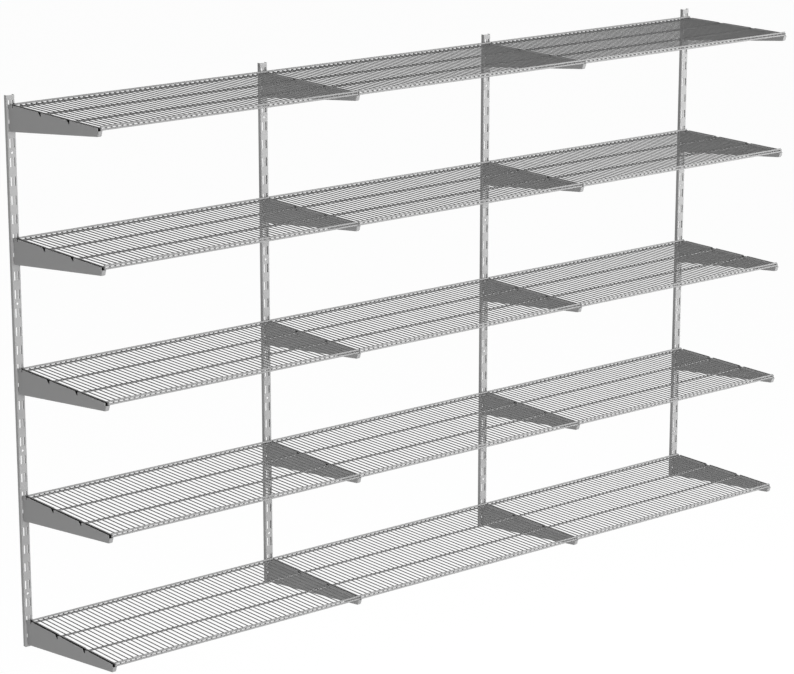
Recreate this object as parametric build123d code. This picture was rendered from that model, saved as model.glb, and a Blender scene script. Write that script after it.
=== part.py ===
from build123d import *

import math
import os

# Wall-hung steel shelving: slotted channel uprights, hook-in folded brackets and wire shelves
# that drop into notches in the brackets. Nothing in it is bolted together.
#
# Millimetres. +Z is up, +X runs along the wall and +Y points into the wall. The origin is the
# middle of the rectangle that the outer wall-screw holes make, on the front face of the webs, so
# the wall is the plane Y = upright_depth. "Reach" is a distance out into the room, along -Y.
# "Rise" is a height above the centre line of the shelf rods of the level in question.

# ---- the run of shelving ----
bay_pitch = 800.0  # from one upright's centre line to the next
bay_count = 3
level_count = 5
level_slots = 7  # slots from one level of brackets to the next
shelf_depth = 400.0  # from the rear rod's centre to the front rod's centre

# ---- uprights: a channel that is open to the wall, with two columns of slots in its web ----
upright_width = 25.0
upright_depth = 11.0
upright_sheet = 1.5
upright_bend = 2.5  # outer radius of the two folds
slot_pitch = 50.0
slot_length = 24.0
slot_width = 4.0
slot_corner = 0.8
slot_columns = 11.0  # from one column's centre line to the other's
hooks_per_plate = 2  # hooks on each bracket plate, one slot pitch apart
wall_screw_hole = 6.5
first_screw_gap = 3  # slot pitches from the upright's top end to the first screw hole
screw_gap_step = 8  # slot pitches from one screw hole to the next
screw_rows = 4

# ---- brackets: one sheet folded into a narrow trough that tapers towards the room ----
bracket_sheet = 1.5
bracket_bend = 2.0  # outer radius of the long folds
bracket_top_rise = 4.5  # top edge of the plates
bracket_rear_margin = 21.0  # height of the plates at the wall, beyond one slot pitch
bracket_front_height = 22.0  # the same where the bottom edge would meet the front rod's centre
nose_drop = 14.0  # from the rod centre line to the lower end of the nose's straight face
nose_lean = 4.5  # how far the nose's face leans back over that height
nose_bend = 6.0  # outer radius between the bottom strip and the nose
notch_lead_angle = 40.0  # slope of the lead-in behind the two middle notches, from level
middle_notch_drop = 2.5  # how much deeper the middle notches are; only the end ones bear
notch_overcut = 1.0  # how far the notch cutters reach above the plates
rod_front_gap = 18.0  # from the upright's front face to the rear rod's centre

# ---- hooks on the rear edge of each bracket plate ----
hook_neck_height = 12.5
hook_head_room = 0.2  # from the top of the upper hook's neck to the plate's top edge
hook_drop = 8.0  # how far the hook hangs down behind the web
hook_thickness = 3.0
hook_chamfer = 1.5

# ---- wire shelves: cross wires welded on rods, with a second rod over their ends ----
rod_diameter = 5.0
wire_diameter = 3.0
wire_count = 51
rod_rows = 4
weld_flat = 0.15  # depth of the flat that each rod and wire has where the other is welded on
wire_end_inset = 0.5  # cross wires stop this far inside the outer side of the edge rods
shelf_end_gap = 1.0  # from an upright's centre line to the shelf's rod ends

# ---- clearances between pieces that come apart ----
rest_gap = 0.3  # under a rod in its notch and under a hook in its slot
side_gap = 0.4  # beside a rod in its notch
web_gap = 0.3  # between a bracket and the web, in front and behind
wire_gap = 0.35  # between a shelf's first wire and the bracket plate beside it
near_zero = 0.01  # for telling edges apart by where they lie

# ---- sizes that follow from the ones above ----
slot_count = (level_count - 1) * level_slots + hooks_per_plate
upright_length = slot_count * slot_pitch
screw_span = screw_gap_step * slot_pitch * (screw_rows - 1)
upright_top = screw_span / 2 + first_screw_gap * slot_pitch
upright_bottom = upright_top - upright_length
rod_radius = rod_diameter / 2
wire_radius = wire_diameter / 2
wire_rise = rod_radius + wire_radius - 2 * weld_flat
rail_rise = 2 * wire_rise
rod_pitch = shelf_depth / (rod_rows - 1)
front_rod_reach = rod_front_gap + shelf_depth
slot_seat_rise = bracket_top_rise - hook_neck_height - hook_head_room - rest_gap
slot_centre_rise = slot_seat_rise + slot_length / 2
first_rod_drop = slot_pitch / 2 + slot_centre_rise
plate_spacing = slot_columns
bracket_width = plate_spacing + bracket_sheet
hollow_width = plate_spacing - bracket_sheet
first_wire_offset = hollow_width / 2 - wire_gap - wire_radius
rear_bottom_rise = bracket_top_rise - slot_pitch - bracket_rear_margin
front_bottom_rise = bracket_top_rise - bracket_front_height
notch_radius = rod_radius + side_gap
notch_floor_rise = -rod_radius - rest_gap
nose_reach = front_rod_reach + rod_radius


def upright_x(column):
    """Centre line of an upright, counted from the left."""
    return (column - bay_count / 2) * bay_pitch


def rod_z(level):
    """Height of the rods' centre line, counted from the top level."""
    return upright_top - first_rod_drop - level * level_slots * slot_pitch


def side_face(points):
    """A face in the plane X = 0 from (reach, rise) points."""
    return make_face(Polyline([(0, -reach, rise) for reach, rise in points], close=True))


def across(face, width):
    """The face given a thickness along X, half to each side."""
    return extrude(face, amount=width / 2, dir=(1, 0, 0), both=True)


# ---------------------------------------------------------------- uprights
def channel_face(width, depth, radius):
    """A rectangle that ends at the wall, with its two front corners rounded."""
    face = Pos(0, upright_depth - depth / 2) * Rectangle(width, depth)
    return fillet(face.vertices().group_by(Axis.Y)[0], radius)


def slot_cutter():
    """All the slots of one upright, through its web."""
    heights = [upright_top - slot_pitch * (row + 0.5) for row in range(slot_count)]
    sides = [-slot_columns / 2, slot_columns / 2]
    web_front = Plane(origin=(0, 0, 0), x_dir=(1, 0, 0), z_dir=(0, -1, 0))
    places = Locations([(x, z) for x in sides for z in heights])
    slots = Sketch() + [place * RectangleRounded(slot_width, slot_length, slot_corner) for place in places]
    return extrude(web_front * slots, amount=2 * upright_sheet, both=True)


def screw_cutter():
    """The wall-screw holes, on the web's centre line and between slots."""
    web_front = Plane(origin=(0, 0, 0), x_dir=(1, 0, 0), z_dir=(0, -1, 0))
    first = upright_top - first_screw_gap * slot_pitch
    places = Locations([(0, first - row * screw_gap_step * slot_pitch) for row in range(screw_rows)])
    holes = Sketch() + [place * Circle(wall_screw_hole / 2) for place in places]
    return extrude(web_front * holes, amount=2 * upright_sheet, both=True)


def upright():
    """One upright on the plane X = 0."""
    outer = channel_face(upright_width, upright_depth, upright_bend)
    inner_width = upright_width - 2 * upright_sheet
    inner = channel_face(inner_width, upright_depth - upright_sheet, upright_bend - upright_sheet)
    bar = extrude(Pos(0, 0, upright_bottom) * (outer - inner), amount=upright_length)
    return bar - slot_cutter() - screw_cutter()


# ---------------------------------------------------------------- brackets
def bottom_rise(reach):
    """Height of the bracket's straight bottom edge."""
    share = reach / front_rod_reach
    return rear_bottom_rise + share * (front_bottom_rise - rear_bottom_rise)


def nose_foot(inset):
    """Where the bottom line and the nose line meet, each moved into the trough by the inset."""
    slope = (front_bottom_rise - rear_bottom_rise) / front_rod_reach
    lean = nose_lean / nose_drop
    bottom_shift = inset * math.hypot(1, slope)
    nose_shift = inset * math.hypot(1, lean)
    start = rear_bottom_rise + bottom_shift
    reach = (nose_reach - nose_shift + lean * (start - notch_floor_rise)) / (1 - lean * slope)
    return reach, start + slope * reach


def trough_outline():
    """The plates' outer outline, with the step at the front that the front rod stands on."""
    step_reach = front_rod_reach - rod_radius - side_gap
    foot = nose_foot(0)
    points = [
        (web_gap, bracket_top_rise),
        (step_reach, bracket_top_rise),
        (step_reach, notch_floor_rise),
        (nose_reach, notch_floor_rise),
        foot,
        (web_gap, bottom_rise(web_gap)),
    ]
    face = side_face(points)
    corner = face.vertices().sort_by_distance((0, -foot[0], foot[1]))[0]
    return fillet(corner, nose_bend)


def trough_hollow():
    """The space between the plates: open above and towards the wall."""
    foot = nose_foot(bracket_sheet)
    lean = nose_lean / nose_drop
    head_rise = 4 * bracket_top_rise
    head = (foot[0] + lean * (head_rise - foot[1]), head_rise)
    slope = (front_bottom_rise - rear_bottom_rise) / front_rod_reach
    tail_reach = -upright_depth
    tail = (tail_reach, foot[1] - slope * (foot[0] - tail_reach))
    face = side_face([tail, foot, head, (tail_reach, head_rise)])
    corner = face.vertices().sort_by_distance((0, -foot[0], foot[1]))[0]
    face = fillet(corner, nose_bend - bracket_sheet)
    block = across(face, hollow_width)
    return fillet(fold_edges(block, head_rise), bracket_bend - bracket_sheet)


def fold_edges(block, highest):
    """The long outer edges along the bottom strip and the nose, on both sides."""
    half = block.bounding_box().max.X

    def is_fold(edge):
        middle = edge @ 0.5
        on_side = abs(abs(middle.X) - half) < near_zero
        ends = [edge @ 0, edge @ 1]
        flat_top = min(end.Z for end in ends) > highest - near_zero
        rear = min(end.Y for end in ends) > 0
        return on_side and not flat_top and not rear

    return block.edges().filter_by(is_fold)


def rod_notch(reach, is_middle):
    """A notch for a rod, open above; the middle ones are deeper and slope back to the wall."""
    above = bracket_top_rise + notch_overcut
    rise = notch_floor_rise + notch_radius
    angle = math.radians(notch_lead_angle)
    if is_middle:
        rise -= middle_notch_drop
        touch = (reach - notch_radius * math.sin(angle), rise - notch_radius * math.cos(angle))
        back = (touch[0] - (above - touch[1]) / math.tan(angle), above)
    else:
        touch = (reach - notch_radius, rise)
        back = (reach - notch_radius, above)
    walls = side_face([touch, back, (reach + notch_radius, above), (reach + notch_radius, rise)])
    floor = Plane(origin=(0, -reach, rise), z_dir=(1, 0, 0)) * Circle(notch_radius)
    return across(walls, 2 * bracket_width) + across(floor, 2 * bracket_width)


def hook(row):
    """One hook: a neck through the slot and a finger that hangs down behind the web."""
    foot = slot_seat_rise + rest_gap - row * slot_pitch
    behind = -upright_sheet - web_gap
    end = behind - hook_thickness
    points = [
        (web_gap + bracket_sheet, foot),
        (behind, foot),
        (behind, foot - hook_drop),
        (end + hook_chamfer, foot - hook_drop),
        (end, foot - hook_drop + hook_chamfer),
        (end, foot + hook_neck_height - hook_chamfer),
        (end + hook_chamfer, foot + hook_neck_height),
        (web_gap + bracket_sheet, foot + hook_neck_height),
    ]
    finger = across(side_face(points), bracket_sheet)
    return [Pos(side * plate_spacing / 2, 0, 0) * finger for side in (-1, 1)]


def bracket():
    """One bracket on the plane X = 0, with its rods' centre line at Z = 0."""
    outer = across(trough_outline(), bracket_width)
    folds = outer.edges().filter_by(is_outer_fold)
    body = fillet(folds, bracket_bend) - trough_hollow()
    for row in range(rod_rows - 1):
        body -= rod_notch(rod_front_gap + row * rod_pitch, is_middle=row > 0)
    for row in range(hooks_per_plate):
        body += hook(row)
    return body


def is_outer_fold(edge):
    """Whether an edge of the solid outline lies along its bottom, its corner or its nose."""
    middle = edge @ 0.5
    on_side = abs(abs(middle.X) - bracket_width / 2) < near_zero
    at_rear = middle.Y > -web_gap - near_zero
    return on_side and not at_rear and middle.Z < notch_floor_rise - near_zero


# ---------------------------------------------------------------- shelves
def rod(length, reach, rise, weld_side):
    """A straight rod along X, centred on the plane X = 0, with its weld flat above (1) or below (-1)."""
    section = Circle(rod_radius) & Pos(0, -weld_side * weld_flat) * Rectangle(rod_diameter, rod_diameter)
    face = Plane(origin=(0, -reach, rise), x_dir=(0, 1, 0), z_dir=(1, 0, 0)) * section
    return extrude(face, amount=length / 2, both=True)


def cross_wire(x):
    """A straight wire from the rear rods to the front rods, with weld flats above and below."""
    overhang = rod_radius - wire_end_inset
    start = overhang - rod_front_gap
    length = shelf_depth + 2 * overhang
    section = Circle(wire_radius) & Rectangle(wire_diameter, wire_diameter - 2 * weld_flat)
    face = Plane(origin=(x, start, wire_rise), x_dir=(1, 0, 0), z_dir=(0, -1, 0)) * section
    return extrude(face, amount=length)


def shelf():
    """One wire shelf, welded into one piece, centred on X = 0 with its rods at Z = 0."""
    length = bay_pitch - 2 * shelf_end_gap
    rods = [rod(length, rod_front_gap + row * rod_pitch, 0, 1) for row in range(rod_rows)]
    rods += [rod(length, reach, rail_rise, -1) for reach in (rod_front_gap, front_rod_reach)]
    first = -bay_pitch / 2 + first_wire_offset
    pitch = (bay_pitch - 2 * first_wire_offset) / (wire_count - 1)
    wires = [cross_wire(first + pitch * place) for place in range(wire_count)]
    return rods[0].fuse(*rods[1:], *wires)


# ---------------------------------------------------------------- the whole run
def place(shape, x, z=0.0):
    """A copy of the shape moved along X and Z."""
    return Pos(x, 0, z) * shape


def write(shape, name):
    """One node's file, which holds its piece as one plain solid."""
    solids = shape.solids()
    assert len(solids) == 1, f"{name} isn't one solid"
    export_step(solids[0], f"parts/{name}.step", write_pcurves=False)


def main():
    os.makedirs("parts", exist_ok=True)
    one_upright = upright()
    one_bracket = bracket()
    one_shelf = shelf()
    for column in range(bay_count + 1):
        write(place(one_upright, upright_x(column)), f"upright_{column + 1}")
    for level in range(level_count):
        for column in range(bay_count + 1):
            name = f"bracket_level_{level + 1}_upright_{column + 1}"
            write(place(one_bracket, upright_x(column), rod_z(level)), name)
        for bay in range(bay_count):
            middle = (upright_x(bay) + upright_x(bay + 1)) / 2
            write(place(one_shelf, middle, rod_z(level)), f"shelf_level_{level + 1}_bay_{bay + 1}")


main()
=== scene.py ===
"""Wall-hung boltless steel shelving: powder-coat finishes, welded wire shelves and a plain studio.

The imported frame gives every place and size. The slotted uprights and the folded brackets keep
their own meshes and get painted finishes. Each wire shelf is built anew as a welded mesh of
rods, cross wires and weld beads, which rides where its plain frame node rides.

Metres. +X runs along the wall, +Y points into the wall and +Z is up.
"""

from __future__ import annotations

import logging
import math
from collections.abc import Mapping, Sequence
from dataclasses import dataclass, field
from enum import Enum
from typing import TypeAlias

import bpy
import numpy as np
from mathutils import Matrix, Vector

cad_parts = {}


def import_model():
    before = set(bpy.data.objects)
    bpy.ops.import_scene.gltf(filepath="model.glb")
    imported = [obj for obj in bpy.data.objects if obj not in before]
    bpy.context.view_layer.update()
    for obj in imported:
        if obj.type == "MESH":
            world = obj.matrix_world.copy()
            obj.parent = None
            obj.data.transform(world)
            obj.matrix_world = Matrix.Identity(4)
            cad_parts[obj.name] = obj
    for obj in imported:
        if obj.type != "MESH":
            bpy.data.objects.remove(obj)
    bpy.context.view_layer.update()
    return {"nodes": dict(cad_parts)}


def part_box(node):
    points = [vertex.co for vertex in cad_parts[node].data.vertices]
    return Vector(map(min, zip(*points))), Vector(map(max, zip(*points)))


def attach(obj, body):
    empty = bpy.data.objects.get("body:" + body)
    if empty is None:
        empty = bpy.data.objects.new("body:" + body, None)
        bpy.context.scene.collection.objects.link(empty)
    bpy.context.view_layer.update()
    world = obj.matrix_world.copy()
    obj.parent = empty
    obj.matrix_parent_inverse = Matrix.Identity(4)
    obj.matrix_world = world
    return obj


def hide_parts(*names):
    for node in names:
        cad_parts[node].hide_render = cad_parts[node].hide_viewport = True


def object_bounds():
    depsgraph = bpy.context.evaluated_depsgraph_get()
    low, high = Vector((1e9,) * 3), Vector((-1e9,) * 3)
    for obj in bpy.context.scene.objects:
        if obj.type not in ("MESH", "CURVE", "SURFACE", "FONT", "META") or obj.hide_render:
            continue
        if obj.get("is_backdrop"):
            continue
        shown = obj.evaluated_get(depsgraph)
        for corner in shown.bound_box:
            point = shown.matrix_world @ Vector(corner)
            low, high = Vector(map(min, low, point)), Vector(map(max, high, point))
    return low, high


LOG = logging.getLogger("wall_shelving")
MILLIMETRE = 0.001
RANDOM_SEED = 51
WIRES_ABOVE = 1.0
WIRES_BELOW = -1.0

Colour: TypeAlias = tuple[float, float, float, float]
Number: TypeAlias = "float | Value"


class Slot(Enum):
    """The material slots of the part."""

    UPRIGHT = "upright_steel"
    BRACKET = "bracket_steel"
    SHELF = "shelf_wire"


class Operation(Enum):
    """What a Math node does with its terms."""

    ADD = "ADD"
    SUBTRACT = "SUBTRACT"
    MULTIPLY = "MULTIPLY"
    ABSOLUTE = "ABSOLUTE"
    MAXIMUM = "MAXIMUM"
    ROOT = "SQRT"
    WRAP = "WRAP"


def grey(level: float, warmth: float = 0.0) -> Colour:
    """A near-neutral grey.

    Args:
        level: How light it is, from 0 to 1.
        warmth: Share by which it has more red and less blue than that.

    Returns:
        The opaque colour.
    """
    return (level * (1 + warmth), level, level * (1 - warmth), 1.0)


# ------------------------------------------------------------------ shader arithmetic
class Value:
    """A socket of a shader graph that takes part in Python arithmetic."""

    def __init__(self, graph: Graph, socket: bpy.types.NodeSocket) -> None:
        """Keeps the socket and the graph that new Math nodes are added to."""
        self.graph = graph
        self.socket = socket

    def __add__(self, other: Number) -> Value:
        """Sum."""
        return self.graph.math(Operation.ADD, self, other)

    def __sub__(self, other: Number) -> Value:
        """Difference."""
        return self.graph.math(Operation.SUBTRACT, self, other)

    def __rsub__(self, other: float) -> Value:
        """Difference with the number first."""
        return self.graph.math(Operation.SUBTRACT, other, self)

    def __mul__(self, other: Number) -> Value:
        """Product."""
        return self.graph.math(Operation.MULTIPLY, self, other)

    def __abs__(self) -> Value:
        """Size without its sign."""
        return self.graph.math(Operation.ABSOLUTE, self)

    __radd__ = __add__
    __rmul__ = __mul__

    def larger(self, other: Number) -> Value:
        """The larger of the two."""
        return self.graph.math(Operation.MAXIMUM, self, other)

    def root(self) -> Value:
        """Square root."""
        return self.graph.math(Operation.ROOT, self)

    def folded(self, pitch: float) -> Value:
        """The signed distance to the nearest multiple of the pitch."""
        return self.graph.math(Operation.WRAP, self, pitch / 2, -pitch / 2)

    def ramp(self, start: float, end: float) -> Value:
        """A smooth step over a stretch of values.

        Args:
            start: The value at which the step is 0.
            end: The value at which it is 1, which may lie below the start.

        Returns:
            The step's height, from 0 to 1.
        """
        low, high = (start, end) if start < end else (end, start)
        rising = self.graph.node(
            "ShaderNodeMapRange",
            {"interpolation_type": "SMOOTHSTEP"},
            {"Value": self, "From Min": low, "From Max": high},
        )
        value = Value(self.graph, rising.outputs["Result"])
        return value if start < end else 1 - value


class Graph:
    """The nodes of one material or world."""

    def __init__(self, owner: bpy.types.Material | bpy.types.World) -> None:
        """Starts an empty node tree on its owner."""
        owner.use_nodes = True
        self.tree = owner.node_tree
        self.tree.nodes.clear()

    def node(
        self,
        kind: str,
        settings: Mapping[str, object] | None = None,
        inputs: Mapping[str | int, object] | None = None,
    ) -> bpy.types.Node:
        """Adds any node.

        Args:
            kind: The node's type.
            settings: Its own settings, set before its sockets.
            inputs: A value, socket or Value for each named or numbered socket.

        Returns:
            The new node.
        """
        made = self.tree.nodes.new(kind)
        for name, setting in (settings or {}).items():
            setattr(made, name, setting)
        for name, given in (inputs or {}).items():
            socket = made.inputs[name]
            if isinstance(given, Value):
                given = given.socket
            if isinstance(given, bpy.types.NodeSocket):
                self.tree.links.new(given, socket)
            else:
                socket.default_value = given
        return made

    def math(self, operation: Operation, *terms: Number) -> Value:
        """Adds one Math node on the given terms."""
        settings = {"operation": operation.value}
        made = self.node("ShaderNodeMath", settings, dict(enumerate(terms)))
        return Value(self, made.outputs[0])

    def place(self) -> Value:
        """The point of the surface in the frame's own metres."""
        return Value(self, self.node("ShaderNodeTexCoord").outputs["Object"])

    def axes(self, place: Value) -> tuple[Value, Value, Value]:
        """The three coordinates of a point."""
        split = self.node("ShaderNodeSeparateXYZ", inputs={0: place})
        return tuple(Value(self, socket) for socket in split.outputs)

    def stretched(self, place: Value, scale: Sequence[float]) -> Value:
        """A point with each coordinate multiplied by its own number."""
        settings = {"operation": Operation.MULTIPLY.value}
        made = self.node("ShaderNodeVectorMath", settings, {0: place, 1: tuple(scale)})
        return Value(self, made.outputs[0])

    def noise(self, place: Value, size: float, detail: float = 2.0) -> Value:
        """Soft noise from 0 to 1.

        Args:
            place: Where it is read.
            size: About the width of one blotch.
            detail: Number of finer layers on top of the first.

        Returns:
            The noise.
        """
        made = self.node(
            "ShaderNodeTexNoise",
            {"noise_dimensions": "3D"},
            {"Vector": place, "Scale": 1 / size, "Detail": detail, "Roughness": 0.55},
        )
        return Value(self, made.outputs[0])

    def blend(self, share: Number, first: Colour | Value, second: Colour | Value) -> Value:
        """Mixes two colours.

        Args:
            share: 0 for the first colour only and 1 for the second only.
            first: A colour.
            second: Another colour.

        Returns:
            The mixed colour.
        """
        made = self.node(
            "ShaderNodeMix",
            {"data_type": "RGBA", "blend_type": "MIX"},
            {0: share, 6: first, 7: second},
        )
        return Value(self, made.outputs[2])


# ------------------------------------------------------------------ finishes
@dataclass(frozen=True)
class Patches:
    """Soft-edged patches made from noise.

    Attributes:
        size: About the width of one patch.
        start: Level of the noise at which a patch begins.
        end: Level from which it is full.
        least: Share that is left between the patches.
        detail: Number of finer layers in the noise.
    """

    size: float
    start: float = 0.35
    end: float = 0.65
    least: float = 0.0
    detail: float = 2.0

    def share(self, graph: Graph, place: Value) -> Value:
        """1 within the patches and the least share between them."""
        full = graph.noise(place, self.size, self.detail).ramp(self.start, self.end)
        return self.least + (1 - self.least) * full


@dataclass(frozen=True)
class PowderCoat:
    """Satin silver-grey powder coat: faint orange peel, clouds of tone and rubbed places.

    Attributes:
        paint: The paint's colour.
        rubbed_paint: Its colour where metal slides on it.
        roughness: The paint's roughness.
        rubbed_roughness: Its roughness where metal slides on it.
        metallic: Its share of metal flake.
        cloud: How far clouds change the colour, as a share of it.
        cloud_size: Width of one cloud.
        cloud_share: The clouds' part in the change of colour; the grain has the rest.
        cloud_roughness: How far the clouds change the roughness.
        grain_size: Width of one grain.
        grain_roughness: How far the grain changes the roughness.
        peel_size: Width of one orange-peel cell.
        peel_depth: Height of one cell.
        peel_strength: How strongly the cells tilt the surface.
        flecks: Where plain paint is worn.
    """

    paint: Colour
    rubbed_paint: Colour
    roughness: float = 0.44
    rubbed_roughness: float = 0.30
    metallic: float = 0.0
    cloud: float = 0.05
    cloud_size: float = 0.055
    cloud_share: float = 0.65
    cloud_roughness: float = 0.10
    grain_size: float = 0.35 * MILLIMETRE
    grain_roughness: float = 0.06
    peel_size: float = 1.3 * MILLIMETRE
    peel_depth: float = 0.05 * MILLIMETRE
    peel_strength: float = 0.5
    flecks: Patches = Patches(9 * MILLIMETRE, 0.72, 0.80)

    def rubbed(self, graph: Graph, place: Value) -> Value:
        """Share of wear at each point, from 0 to 1; plain paint has next to none."""
        return self.flecks.share(graph, place)

    def shaded(self, graph: Graph, place: Value, colour: Value) -> Value:
        """The colour with any painted shade or other marks on it; plain paint has nothing."""
        return colour

    def toned(self, factor: float) -> Colour:
        """The paint's colour, lighter or darker by a factor and never above white."""
        red, green, blue, _ = self.paint
        return (min(1.0, red * factor), min(1.0, green * factor), min(1.0, blue * factor), 1.0)

    def material(self, name: str) -> bpy.types.Material:
        """Builds the finish.

        Args:
            name: The material's name.

        Returns:
            The finished material.
        """
        made = bpy.data.materials.new(name)
        graph = Graph(made)
        place = graph.place()
        clouds = graph.noise(place, self.cloud_size, 3.0)
        grain = graph.noise(place, self.grain_size, 1.0)
        peel = graph.noise(place, self.peel_size, 1.5)
        worn = self.rubbed(graph, place)
        tone = self.cloud_share * clouds + (1 - self.cloud_share) * grain
        colour = graph.blend(tone, self.toned(1 - self.cloud), self.toned(1 + self.cloud))
        # Painted shade, where a finish has it.
        colour = self.shaded(graph, place, colour)
        colour = graph.blend(worn, colour, self.rubbed_paint)
        uneven = self.cloud_roughness * (clouds - 0.5) + self.grain_roughness * (grain - 0.5)
        base = self.roughness + uneven
        rough = base + worn * (self.rubbed_roughness - base)
        bump = graph.node(
            "ShaderNodeBump",
            inputs={
                "Strength": self.peel_strength,
                "Distance": self.peel_depth,
                "Height": peel * (1 - worn),
            },
        )
        shader = graph.node(
            "ShaderNodeBsdfPrincipled",
            inputs={
                "Base Color": colour,
                "Roughness": rough,
                "Metallic": self.metallic,
                "Normal": bump.outputs["Normal"],
            },
        )
        graph.node("ShaderNodeOutputMaterial", inputs={"Surface": shader.outputs[0]})
        return made


@dataclass(frozen=True)
class UprightCoat(PowderCoat):
    """The coat of the slotted channels: thin at the slots' rims and scratched round the hooks.

    Attributes:
        bay_pitch: From one upright's centre line to the next.
        column_offset: From an upright's centre line to a column of slots.
        slot_pitch: From one slot to the next.
        slot_half_width: Half of a slot's width.
        slot_half_length: Half of its length.
        slot_centre: Height of one slot's centre.
        rim: How far from a slot the paint is thin.
        rim_core: How far from it the paint is thinnest.
        rim_wear: Share of wear there.
        level_pitch: From one level of brackets to the next.
        hook_middle: Height midway between the top level's two hooks.
        hook_reach: How far above and below that the scratches run out.
        hook_core: How far they are full.
        scratch_reach: How far from the centre line the scratches run out.
        scratch_core: How far they are full.
        scratch_wear: Share of wear in a scratch.
        streaks: The scratches themselves.
        streak_stretch: A scratch's width as a share of its length.
        patches: Where the rims are rubbed more and less.
    """

    bay_pitch: float = 0.8
    column_offset: float = 5.5 * MILLIMETRE
    slot_pitch: float = 0.05
    slot_half_width: float = 2.0 * MILLIMETRE
    slot_half_length: float = 12.0 * MILLIMETRE
    slot_centre: float = 0.025
    rim: float = 0.9 * MILLIMETRE
    rim_core: float = 0.1 * MILLIMETRE
    rim_wear: float = 0.40
    level_pitch: float = 0.35
    hook_middle: float = 0.70
    hook_reach: float = 55 * MILLIMETRE
    hook_core: float = 30 * MILLIMETRE
    scratch_reach: float = 9.5 * MILLIMETRE
    scratch_core: float = 7.5 * MILLIMETRE
    scratch_wear: float = 0.22
    streaks: Patches = Patches(0.5 * MILLIMETRE, 0.60, 0.72, detail=1.0)
    streak_stretch: float = 0.05
    patches: Patches = Patches(6 * MILLIMETRE, least=0.35)

    def aside(self, x: Value) -> Value:
        """Distance from the nearest upright's centre line."""
        return abs((x - self.bay_pitch / 2).folded(self.bay_pitch))

    def from_slot(self, graph: Graph, place: Value) -> Value:
        """Distance from the edge of the nearest slot: the larger of its two side distances."""
        x, _, z = graph.axes(place)
        across = abs(self.aside(x) - self.column_offset)
        along = abs((z - self.slot_centre).folded(self.slot_pitch))
        return (across - self.slot_half_width).larger(along - self.slot_half_length)

    def rubbed(self, graph: Graph, place: Value) -> Value:
        """Wear on the rims, and upright scratches round the slots that hold hooks."""
        x, _, z = graph.axes(place)
        rim = self.from_slot(graph, place).ramp(self.rim, self.rim_core)
        from_hooks = abs((z - self.hook_middle).folded(self.level_pitch))
        near = from_hooks.ramp(self.hook_reach, self.hook_core)
        close = self.aside(x).ramp(self.scratch_reach, self.scratch_core)
        drawn_out = graph.stretched(place, (1.0, 1.0, self.streak_stretch))
        scratched = self.streaks.share(graph, drawn_out) * near * close
        rim_wear = self.rim_wear * rim * self.patches.share(graph, place)
        return rim_wear.larger(self.scratch_wear * scratched)


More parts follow.
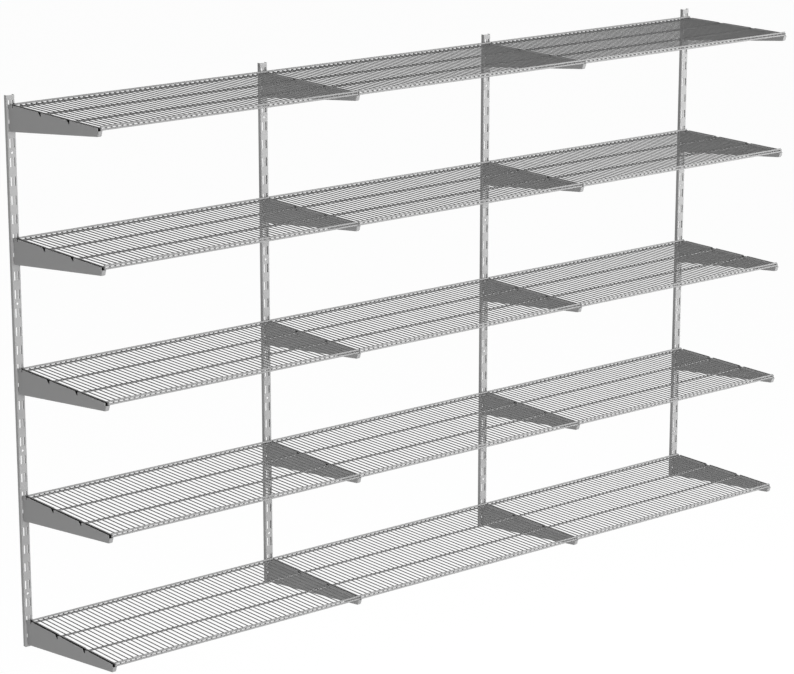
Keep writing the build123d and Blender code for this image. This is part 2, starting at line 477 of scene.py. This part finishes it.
@dataclass(frozen=True)
class BracketCoat(PowderCoat):
    """The coat of the folded brackets: rubbed by the rods in the notches and along cut edges, with
    painted shade in the trough.

    Attributes:
        rod_pitch: From one rod to the next.
        rear_rod_reach: From the uprights' front face to the rear rod's centre line.
        level_pitch: From one level of brackets to the next.
        rod_height: Height of the top level's rods.
        notch_radius: Radius of a notch.
        top_rise: From the rods' centre line up to the plates' top edge.
        bay_pitch: From one bracket's middle to the next one's.
        hollow_half: Half of the width between the plates.
        bottom_rear: From the rods' centre line to the bottom's outer face, at the wall.
        bottom_slope: How far the bottom rises for each unit of reach.
        nose_reach: How far out the nose is at the rods' height.
        nose_lean: How far it leans back for each unit that it drops.
        sheet: Thickness of the sheet.
        inner_share: Share of the sheet at which the painted shade inside begins.
        blur: Width of the change from paint to the painted shade.
        hollow_skin: How far outside the hollow the side change ends.
        shade_start: How far below the top edge the painted shade inside begins.
        shade_full: How far below it the painted shade is full.
        wall_blur: Reach over which the painted shade inside begins.
        shade_share: Share of the painted shade inside.
        painted_trough_shade: Colour of the painted shade, a near-black that stands in for the
            shade inside the trough.
        seat_wear: Share of wear round a rod's seat.
        seat_reach: How far from the notch that wear runs out.
        seat_core: How far it is full.
        edge_wear: Share of wear on the plates' top edge.
        edge_reach: How far from the edge that wear runs out.
        edge_core: How far it is full.
        patches: Where the paint is rubbed more and less.
    """

    rod_pitch: float = 0.4 / 3
    rear_rod_reach: float = 0.018
    level_pitch: float = 0.35
    rod_height: float = 0.7215
    notch_radius: float = 2.9 * MILLIMETRE
    top_rise: float = 4.5 * MILLIMETRE
    bay_pitch: float = 0.8
    hollow_half: float = 4.75 * MILLIMETRE
    bottom_rear: float = -66.5 * MILLIMETRE
    bottom_slope: float = 49 / 418
    nose_reach: float = 420.5 * MILLIMETRE
    nose_lean: float = 4.5 / 14
    sheet: float = 1.5 * MILLIMETRE
    inner_share: float = 0.9
    blur: float = 0.4 * MILLIMETRE
    hollow_skin: float = 0.1 * MILLIMETRE
    shade_start: float = 0.3 * MILLIMETRE
    shade_full: float = 3 * MILLIMETRE
    wall_blur: float = 1 * MILLIMETRE
    shade_share: float = 0.92
    # Painted shade: near-black colour for the inside of the trough, where shade falls.
    painted_trough_shade: Colour = grey(0.05)
    seat_wear: float = 0.55
    seat_reach: float = 1.1 * MILLIMETRE
    seat_core: float = 0.1 * MILLIMETRE
    edge_wear: float = 0.30
    edge_reach: float = 0.35 * MILLIMETRE
    edge_core: float = 0.05 * MILLIMETRE
    patches: Patches = Patches(4 * MILLIMETRE, least=0.45)

    def above_rods(self, z: Value) -> Value:
        """Height above the centre line of the nearest level's rods."""
        return (z - self.rod_height).folded(self.level_pitch)

    def shaded(self, graph: Graph, place: Value, colour: Value) -> Value:
        """Painted shade: a near-black colour inside the trough, where the shade falls."""
        x, y, z = graph.axes(place)
        across = abs((x - self.bay_pitch / 2).folded(self.bay_pitch))
        above = self.above_rods(z)
        inner = self.inner_share * self.sheet
        from_bottom = above + self.bottom_slope * y - self.bottom_rear
        from_nose = y + self.nose_lean * above + self.nose_reach
        within = across.ramp(self.hollow_half + self.blur, self.hollow_half + self.hollow_skin)
        below = above.ramp(self.top_rise - self.shade_start, self.top_rise - self.shade_full)
        in_front = y.ramp(0.0, -self.wall_blur)
        over = from_bottom.ramp(inner - self.blur, inner)
        behind = from_nose.ramp(inner - self.blur, inner)
        hidden = within * below * in_front * over * behind
        # Blends the painted shade into the inside of the trough.
        return graph.blend(self.shade_share * hidden, colour, self.painted_trough_shade)

    def rubbed(self, graph: Graph, place: Value) -> Value:
        """Wear round each rod's seat, and on the cut edge along the plates' tops."""
        _, y, z = graph.axes(place)
        beside = (y + self.rear_rod_reach).folded(self.rod_pitch)
        above = self.above_rods(z)
        from_notch = (beside * beside + above * above).root() - self.notch_radius
        from_edge = abs(above - self.top_rise)
        seat = self.seat_wear * from_notch.ramp(self.seat_reach, self.seat_core)
        edge = self.edge_wear * from_edge.ramp(self.edge_reach, self.edge_core)
        patchy = self.patches.share(graph, place)
        return (seat * patchy).larger(edge * patchy)


@dataclass(frozen=True)
class WireCoat(PowderCoat):
    """The coat of the wire shelves: painted shade darkens the thin cross wires, and the weld beads
    are darker.

    Attributes:
        wire_shade_and_weld_colour: The darker colour: painted shade on the cross wires, and the
            weld beads' own colour.
        darker_least: Its least share where the mesh asks for all of it.
        darker_swing: How much more of it the patches can add.
        darker_size: Width of one patch.
        shade_attribute: The mesh's own attribute that says how much of it a point gets.
    """

    # Dark grey: painted shade on the cross wires, and the weld beads' own darker colour.
    wire_shade_and_weld_colour: Colour = grey(0.12)
    darker_least: float = 0.35
    darker_swing: float = 0.4
    darker_size: float = 1.2 * MILLIMETRE
    shade_attribute: str = "shade"

    def shaded(self, graph: Graph, place: Value, colour: Value) -> Value:
        """Darker colour in patches, as far as the mesh's own shade attribute says: painted shade
        on the cross wires, and darker weld beads.
        """
        shade = graph.node("ShaderNodeAttribute", {"attribute_name": self.shade_attribute})
        patchy = self.darker_least + self.darker_swing * graph.noise(place, self.darker_size)
        share = Value(graph, shade.outputs["Fac"]) * patchy
        # Blends in the painted shade on the cross wires and the darker weld beads.
        return graph.blend(share, colour, self.wire_shade_and_weld_colour)


# ------------------------------------------------------------------ surfaces
@dataclass
class Surface:
    """Points with the four-sided and three-sided faces between them.

    Attributes:
        points: One row of x, y and z for each point.
        quads: Four point numbers for each four-sided face.
        triangles: Three point numbers for each three-sided face.
    """

    points: np.ndarray
    quads: np.ndarray
    triangles: np.ndarray

    @classmethod
    def closed_grid(cls, rings: np.ndarray, start: np.ndarray, end: np.ndarray) -> Surface:
        """Joins rings of points into a tube and closes it with a pole at each end.

        Face i, j spans rings i and i + 1 and points j and j + 1, and the last point of a ring
        meets its first. The rings turn so that their normal runs from the start to the end.

        Args:
            rings: Points by ring, by place on the ring and by coordinate.
            start: The pole beyond the first ring.
            end: The pole beyond the last ring.

        Returns:
            A closed surface whose faces point outwards.
        """
        count, sides, _ = rings.shape
        number = np.arange(count * sides).reshape(count, sides)
        following = np.roll(number, -1, axis=1)
        quads = np.stack([number[:-1], following[:-1], following[1:], number[1:]], axis=-1)
        first, last = np.full(sides, count * sides), np.full(sides, count * sides + 1)
        caps = [
            np.stack([first, following[0], number[0]], axis=-1),
            np.stack([last, number[-1], following[-1]], axis=-1),
        ]
        points = np.concatenate([rings.reshape(-1, 3), [start], [end]])
        return cls(points, quads.reshape(-1, 4), np.concatenate(caps))

    @classmethod
    def joined(cls, parts: Sequence[Surface]) -> Surface:
        """All the parts as one surface, each numbered after the one before."""
        shifts = np.cumsum([0] + [len(part.points) for part in parts[:-1]])
        return cls(
            np.concatenate([part.points for part in parts]),
            np.concatenate([part.quads + shift for part, shift in zip(parts, shifts)]),
            np.concatenate([part.triangles + shift for part, shift in zip(parts, shifts)]),
        )

    def repeated(self, places: np.ndarray, scales: np.ndarray | None = None) -> Surface:
        """A copy at each place: copy k is the points times scale k, plus place k.

        Args:
            places: One row of x, y and z for each copy.
            scales: One row of three factors for each copy, or None for full size.

        Returns:
            All the copies as one surface.
        """
        factors = np.ones_like(places) if scales is None else scales
        points = self.points[None] * factors[:, None] + places[:, None]
        shifts = (np.arange(len(places)) * len(self.points))[:, None, None]
        return Surface(
            points.reshape(-1, 3),
            (self.quads[None] + shifts).reshape(-1, 4),
            (self.triangles[None] + shifts).reshape(-1, 3),
        )

    def along_y(self) -> Surface:
        """A surface that runs along X, turned a quarter so that it runs along Y."""
        x, y, z = self.points.T
        return Surface(np.stack([-y, x, z], axis=-1), self.quads, self.triangles)

    def mesh(self, name: str, crease: float) -> bpy.types.Mesh:
        """Puts the surface into a mesh.

        Args:
            name: The mesh's name.
            crease: Angle in degrees above which an edge is left sharp.

        Returns:
            The new mesh, smooth apart from its sharp edges.
        """
        made = bpy.data.meshes.new(name)
        corners = np.concatenate([self.quads.ravel(), self.triangles.ravel()])
        sizes = np.repeat([4, 3], [len(self.quads), len(self.triangles)])
        made.vertices.add(len(self.points))
        made.vertices.foreach_set("co", self.points.astype(np.float32).ravel())
        made.loops.add(len(corners))
        made.loops.foreach_set("vertex_index", corners.astype(np.int32))
        made.polygons.add(len(sizes))
        made.polygons.foreach_set("loop_start", (np.cumsum(sizes) - sizes).astype(np.int32))
        made.polygons.foreach_set("use_smooth", np.ones(len(sizes), dtype=bool))
        made.update(calc_edges=True)
        made.validate()
        made.set_sharp_from_angle(angle=math.radians(crease))
        return made


def round_bar(length: float, radius: float, chamfer: float, sides: int) -> Surface:
    """A straight round bar along X, centred on the origin.

    Ring i stands at its own distance along X with its own radius; point j of it stands at the
    angle of j turns over the number of sides, at y = radius cos and z = radius sin. The end
    rings are smaller by the chamfer, and flat caps close them.

    Args:
        length: From end to end.
        radius: Of the bar.
        chamfer: Size of the broken edge at both ends.
        sides: Points round the bar.

    Returns:
        The closed bar.
    """
    half = length / 2
    along = np.array([-half, -half + chamfer, half - chamfer, half])
    radii = np.array([radius - chamfer, radius, radius, radius - chamfer])
    turn = (np.arange(sides) + 0.5) * 2 * np.pi / sides
    rings = np.stack(
        [
            np.broadcast_to(along[:, None], (4, sides)),
            radii[:, None] * np.cos(turn),
            radii[:, None] * np.sin(turn),
        ],
        axis=-1,
    )
    return Surface.closed_grid(rings, np.array([-half, 0, 0]), np.array([half, 0, 0]))


def weld_bead(half_size: Sequence[float], lobe: float, rows: int, sides: int) -> Surface:
    """A squashed bead that swells into the four corners of a crossing.

    At latitude v and longitude u the point is the half sizes times (cos v cos u, cos v sin u,
    sin v), with its distance from the upright axis multiplied by 1 - lobe cos 4u, which is
    largest halfway between the wire and the rod.

    Args:
        half_size: Half the bead's size along each axis.
        lobe: How far the corners swell, as a share.
        rows: Rings between the two poles.
        sides: Points round each ring.

    Returns:
        The closed bead, centred on the origin.
    """
    latitude = (np.arange(1, rows + 1) / (rows + 1) - 0.5) * np.pi
    longitude = np.arange(sides) * 2 * np.pi / sides
    swell = 1 - lobe * np.cos(4 * longitude)
    rings = np.stack(
        [
            half_size[0] * np.cos(latitude)[:, None] * np.cos(longitude) * swell,
            half_size[1] * np.cos(latitude)[:, None] * np.sin(longitude) * swell,
            half_size[2] * np.broadcast_to(np.sin(latitude)[:, None], (rows, sides)),
        ],
        axis=-1,
    )
    pole = np.array([0, 0, half_size[2]])
    return Surface.closed_grid(rings, -pole, pole)


# ------------------------------------------------------------------ sub-assemblies
@dataclass
class DressedNodes:
    """Sheet-metal pieces that keep the frame's own meshes and get a painted finish.

    Attributes:
        nodes: The frame's objects by name.
        prefix: The start of the names of the pieces meant.
        coat: Their finish.
        slot: The material slot whose name the finish takes.
    """

    nodes: Mapping[str, bpy.types.Object]
    prefix: str
    coat: PowderCoat
    slot: Slot

    def dress(self) -> None:
        """Gives every piece of this kind the finish in all its material slots."""
        finish = self.coat.material(self.slot.value)
        for name, piece in sorted(self.nodes.items()):
            if name.startswith(self.prefix):
                if not piece.material_slots:
                    piece.data.materials.append(finish)
                for place in piece.material_slots:
                    place.material = finish
                LOG.info("painted %s", name)


@dataclass
class WireShelves:
    """The welded wire shelves, each a mesh of rods, cross wires and weld beads.

    Attributes:
        coat: Their finish.
        levels: Number of levels.
        bays: Number of bays.
        rods: Number of rods under the wires of one shelf.
        wires: Number of cross wires of one shelf.
        rod_diameter: Of the rods along the wall.
        wire_diameter: Of the cross wires.
        weld_depth: How far a wire and a rod sink into each other.
        first_wire: From a frame node's end to the first wire's centre.
        wire_inset: How far the wires stop inside the outer sides of the edge rods.
        rod_chamfer: Size of the broken edge at a rod's ends.
        wire_chamfer: The same at a wire's ends.
        rod_sides: Points round a rod.
        wire_sides: Points round a wire.
        drift: Largest sideways drift of a wire from its even place.
        bead: Half of a weld bead's size along each axis.
        bead_lobe: How far its corners swell, as a share.
        bead_spread: How far the beads differ in size, as a share.
        bead_rows: Rings between a bead's two poles.
        bead_sides: Points round each ring.
        crease: Angle in degrees above which an edge is left sharp.
        wire_shade: How much of the darker colour the cross wires get, as painted shade.
        bead_shade: How much of it the beads get.
        random: Source of the wires' drift and then of the beads' sizes.
    """

    coat: WireCoat
    levels: int = 5
    bays: int = 3
    rods: int = 4
    wires: int = 51
    rod_diameter: float = 5 * MILLIMETRE
    wire_diameter: float = 3 * MILLIMETRE
    weld_depth: float = 0.3 * MILLIMETRE
    first_wire: float = 1.9 * MILLIMETRE
    wire_inset: float = 0.5 * MILLIMETRE
    rod_chamfer: float = 0.4 * MILLIMETRE
    wire_chamfer: float = 0.35 * MILLIMETRE
    rod_sides: int = 20
    wire_sides: int = 12
    drift: float = 0.25 * MILLIMETRE
    bead: tuple[float, float, float] = (2.0 * MILLIMETRE, 1.9 * MILLIMETRE, 0.85 * MILLIMETRE)
    bead_lobe: float = 0.14
    bead_spread: float = 0.16
    bead_rows: int = 3
    bead_sides: int = 8
    crease: float = 40.0
    # Share of painted shade on the cross wires.
    wire_shade: float = 0.8
    bead_shade: float = 1.0
    random: np.random.Generator = field(default_factory=lambda: np.random.default_rng(RANDOM_SEED))

    def bars(self, low: Vector, high: Vector) -> tuple[Surface, Surface, np.ndarray, np.ndarray]:
        """Builds the rods and the cross wires of one shelf.

        Args:
            low: Lowest corner of the plain shelf.
            high: Highest corner of it.

        Returns:
            The rods, the wires, the wires' places along X and the rods' places along Y and Z,
            with a third column that says on which side of a rod the wires lie.
        """
        radius, thin = self.rod_diameter / 2, self.wire_diameter / 2
        step = radius + thin - self.weld_depth
        base = low.z + radius
        rows = np.linspace(low.y + radius, high.y - radius, self.rods)
        lower = [(y, base, WIRES_ABOVE) for y in rows]
        upper = [(y, base + 2 * step, WIRES_BELOW) for y in (rows[0], rows[-1])]
        seats = np.array(lower + upper)
        middle = (low.x + high.x) / 2
        rod = round_bar(high.x - low.x, radius, self.rod_chamfer, self.rod_sides)
        rods = rod.repeated(np.insert(seats[:, :2], 0, middle, axis=1))
        across = np.linspace(low.x + self.first_wire, high.x - self.first_wire, self.wires)
        across[1:-1] += self.random.uniform(-self.drift, self.drift, self.wires - 2)
        span = high.y - low.y - 2 * self.wire_inset
        wire = round_bar(span, thin, self.wire_chamfer, self.wire_sides).along_y()
        places = np.stack(
            [across, np.full(self.wires, (low.y + high.y) / 2), np.full(self.wires, base + step)],
            axis=-1,
        )
        return rods, wire.repeated(places), across, seats

    def beads(self, across: np.ndarray, seats: np.ndarray) -> Surface:
        """Builds a weld bead at every crossing.

        Args:
            across: The wires' places along X.
            seats: The rods' places along Y and Z, and the side that the wires lie on.

        Returns:
            All the beads, each a little different in size.
        """
        x, row = [part.ravel() for part in np.meshgrid(across, np.arange(len(seats)))]
        y, z, side = seats[row].T
        contact = self.rod_diameter / 2 - self.weld_depth / 2
        places = np.stack([x, y, z + side * contact], axis=-1)
        scales = 1 + self.random.uniform(-self.bead_spread, self.bead_spread, places.shape)
        bead = weld_bead(self.bead, self.bead_lobe, self.bead_rows, self.bead_sides)
        return bead.repeated(places, scales)

    def build(self, level: int, bay: int, finish: bpy.types.Material) -> bpy.types.Object:
        """Builds one shelf and joins it to the frame.

        Args:
            level: Its level, from 1 at the top.
            bay: Its bay, from 1 at the left.
            finish: Its material.

        Returns:
            The shelf's object.
        """
        node = f"shelf_level_{level}_bay_{bay}"
        rods, wires, across, seats = self.bars(*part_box(node))
        parts = [rods, wires, self.beads(across, seats)]
        mesh = Surface.joined(parts).mesh(f"wire_{node}", self.crease)
        counts = [len(part.points) for part in parts]
        shades = np.repeat([0.0, self.wire_shade, self.bead_shade], counts)
        attribute = mesh.attributes.new(self.coat.shade_attribute, "FLOAT", "POINT")
        attribute.data.foreach_set("value", shades)
        mesh.materials.append(finish)
        piece = bpy.data.objects.new(f"wire_{node}", mesh)
        bpy.context.scene.collection.objects.link(piece)
        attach(piece, f"level_{level}_shelf_{bay}")
        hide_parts(node)
        return piece

    def build_all(self) -> None:
        """Builds every shelf of the run, level by level."""
        finish = self.coat.material(Slot.SHELF.value)
        for level in range(1, self.levels + 1):
            for bay in range(1, self.bays + 1):
                piece = self.build(level, bay, finish)
                LOG.info("built %s with %d faces", piece.name, len(piece.data.polygons))


# ------------------------------------------------------------------ studio
@dataclass(frozen=True)
class SoftLamp:
    """One large square lamp.

    Attributes:
        name: The lamp's name.
        place: Where it hangs.
        aim: The point that it faces.
        size: Length of its side.
        power: In watts.
    """

    name: str
    place: tuple[float, float, float]
    aim: tuple[float, float, float]
    size: float
    power: float

    def hang(self) -> None:
        """Adds the lamp to the scene."""
        data = bpy.data.lights.new(self.name, "AREA")
        data.shape = "SQUARE"
        data.size = self.size
        data.energy = self.power
        lamp = bpy.data.objects.new(self.name, data)
        lamp.location = self.place
        gaze = Vector(self.aim) - Vector(self.place)
        lamp.rotation_euler = gaze.to_track_quat("-Z", "Y").to_euler()
        bpy.context.scene.collection.objects.link(lamp)


@dataclass(frozen=True)
class Studio:
    """The camera, the lamps, the pale floor and the white surroundings.

    Attributes:
        eye: Where the camera stands.
        turn: Degrees that it looks to the right of straight at the wall.
        dip: Degrees that it looks down.
        lens: Its focal length in millimetres.
        far_clip: How far it sees.
        floor_height: Height of the floor, well below the shelving, which hangs on its wall.
        floor_half: Half of the floor's side.
        floor_grey: The floor's grey as a surface that takes light.
        floor_glow: Strength of the white that covers it where it is seen.
        floor_white: Share of that white.
        ambience: Strength of the surroundings as a light.
        lamps: The lamps.
    """

    eye: tuple[float, float, float] = (-4.9292, -6.2347, 2.0266)
    turn: float = 38.70
    dip: float = 14.908
    lens: float = 129.265
    far_clip: float = 500.0
    floor_height: float = -1.75
    floor_half: float = 60.0
    floor_grey: float = 0.6
    floor_glow: float = 1.13
    floor_white: float = 0.86
    ambience: float = 0.08
    lamps: tuple[SoftLamp, ...] = (
        SoftLamp("key_right_front", (3.0, -4.2, 1.3), (0.2, 0.0, 0.0), 1.6, 200.0),
        SoftLamp("front", (-2.5, -5.0, 1.3), (0.0, 0.0, 0.0), 1.6, 114.0),
        SoftLamp("left", (-9.0, -3.0, -0.8), (0.0, 0.0, 0.0), 1.6, 120.0),
        SoftLamp("top", (0.0, -1.2, 5.0), (0.0, -0.2, 0.0), 3.0, 5.0),
    )

    def set_camera(self) -> None:
        """Adds the camera at the viewing angle."""
        data = bpy.data.cameras.new("camera")
        data.lens = self.lens
        data.clip_end = self.far_clip
        camera = bpy.data.objects.new("camera", data)
        camera.location = self.eye
        camera.rotation_euler = (math.radians(90 - self.dip), 0.0, -math.radians(self.turn))
        bpy.context.scene.collection.objects.link(camera)
        bpy.context.scene.camera = camera

    def seen(self, graph: Graph) -> Value:
        """1 for rays that show the surroundings and 0 for rays that only light with them."""
        path = graph.node("ShaderNodeLightPath")
        camera, glossy, through = (
            Value(graph, path.outputs[name])
            for name in ("Is Camera Ray", "Is Glossy Ray", "Is Transmission Ray")
        )
        return camera.larger(glossy).larger(through)

    def set_world(self) -> None:
        """Surroundings that look white and light the shelving softly."""
        world = bpy.data.worlds.new("surroundings")
        graph = Graph(world)
        strength = self.ambience + (1 - self.ambience) * self.seen(graph)
        sky = graph.node("ShaderNodeBackground", inputs={"Color": grey(1.0), "Strength": strength})
        graph.node("ShaderNodeOutputWorld", inputs={"Surface": sky.outputs[0]})
        bpy.context.scene.world = world

    def lay_floor(self) -> None:
        """A pale floor that looks white and still takes a soft shadow."""
        half, z = self.floor_half, self.floor_height
        mesh = bpy.data.meshes.new("floor")
        ends = [(-half, -half, z), (half, -half, z), (half, half, z), (-half, half, z)]
        mesh.from_pydata(ends, [], [(0, 1, 2, 3)])
        material = bpy.data.materials.new("pale_floor")
        graph = Graph(material)
        pale = graph.node("ShaderNodeBsdfDiffuse", inputs={"Color": grey(self.floor_grey)})
        white = graph.node(
            "ShaderNodeEmission",
            inputs={"Color": grey(1.0), "Strength": self.floor_glow},
        )
        mixed = graph.node(
            "ShaderNodeMixShader",
            inputs={
                0: self.floor_white * self.seen(graph),
                1: pale.outputs[0],
                2: white.outputs[0],
            },
        )
        graph.node("ShaderNodeOutputMaterial", inputs={"Surface": mixed.outputs[0]})
        mesh.materials.append(material)
        floor = bpy.data.objects.new("floor", mesh)
        bpy.context.scene.collection.objects.link(floor)
        floor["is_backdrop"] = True

    def build(self) -> None:
        """Sets up everything round the shelving."""
        bpy.context.scene.view_settings.view_transform = "Standard"
        self.set_camera()
        self.set_world()
        self.lay_floor()
        for lamp in self.lamps:
            lamp.hang()
            LOG.info("hung lamp %s", lamp.name)


def corners() -> list[list[float]]:
    """The lowest and the highest corner of the shown object, as plain lists."""
    return [list(corner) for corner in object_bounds()]


def main() -> None:
    """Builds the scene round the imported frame."""
    logging.basicConfig(level=logging.INFO, format="%(name)s: %(message)s")
    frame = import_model()
    Studio().build()
    upright_coat = UprightCoat(paint=grey(0.46), rubbed_paint=grey(0.56, 0.01))
    bracket_coat = BracketCoat(paint=grey(0.41), rubbed_paint=grey(0.50, 0.01))
    wire_coat = WireCoat(paint=grey(0.35), rubbed_paint=grey(0.38))
    DressedNodes(frame["nodes"], "upright_", upright_coat, Slot.UPRIGHT).dress()
    DressedNodes(frame["nodes"], "bracket_", bracket_coat, Slot.BRACKET).dress()
    WireShelves(wire_coat).build_all()


if __name__ == "__main__":
    main()
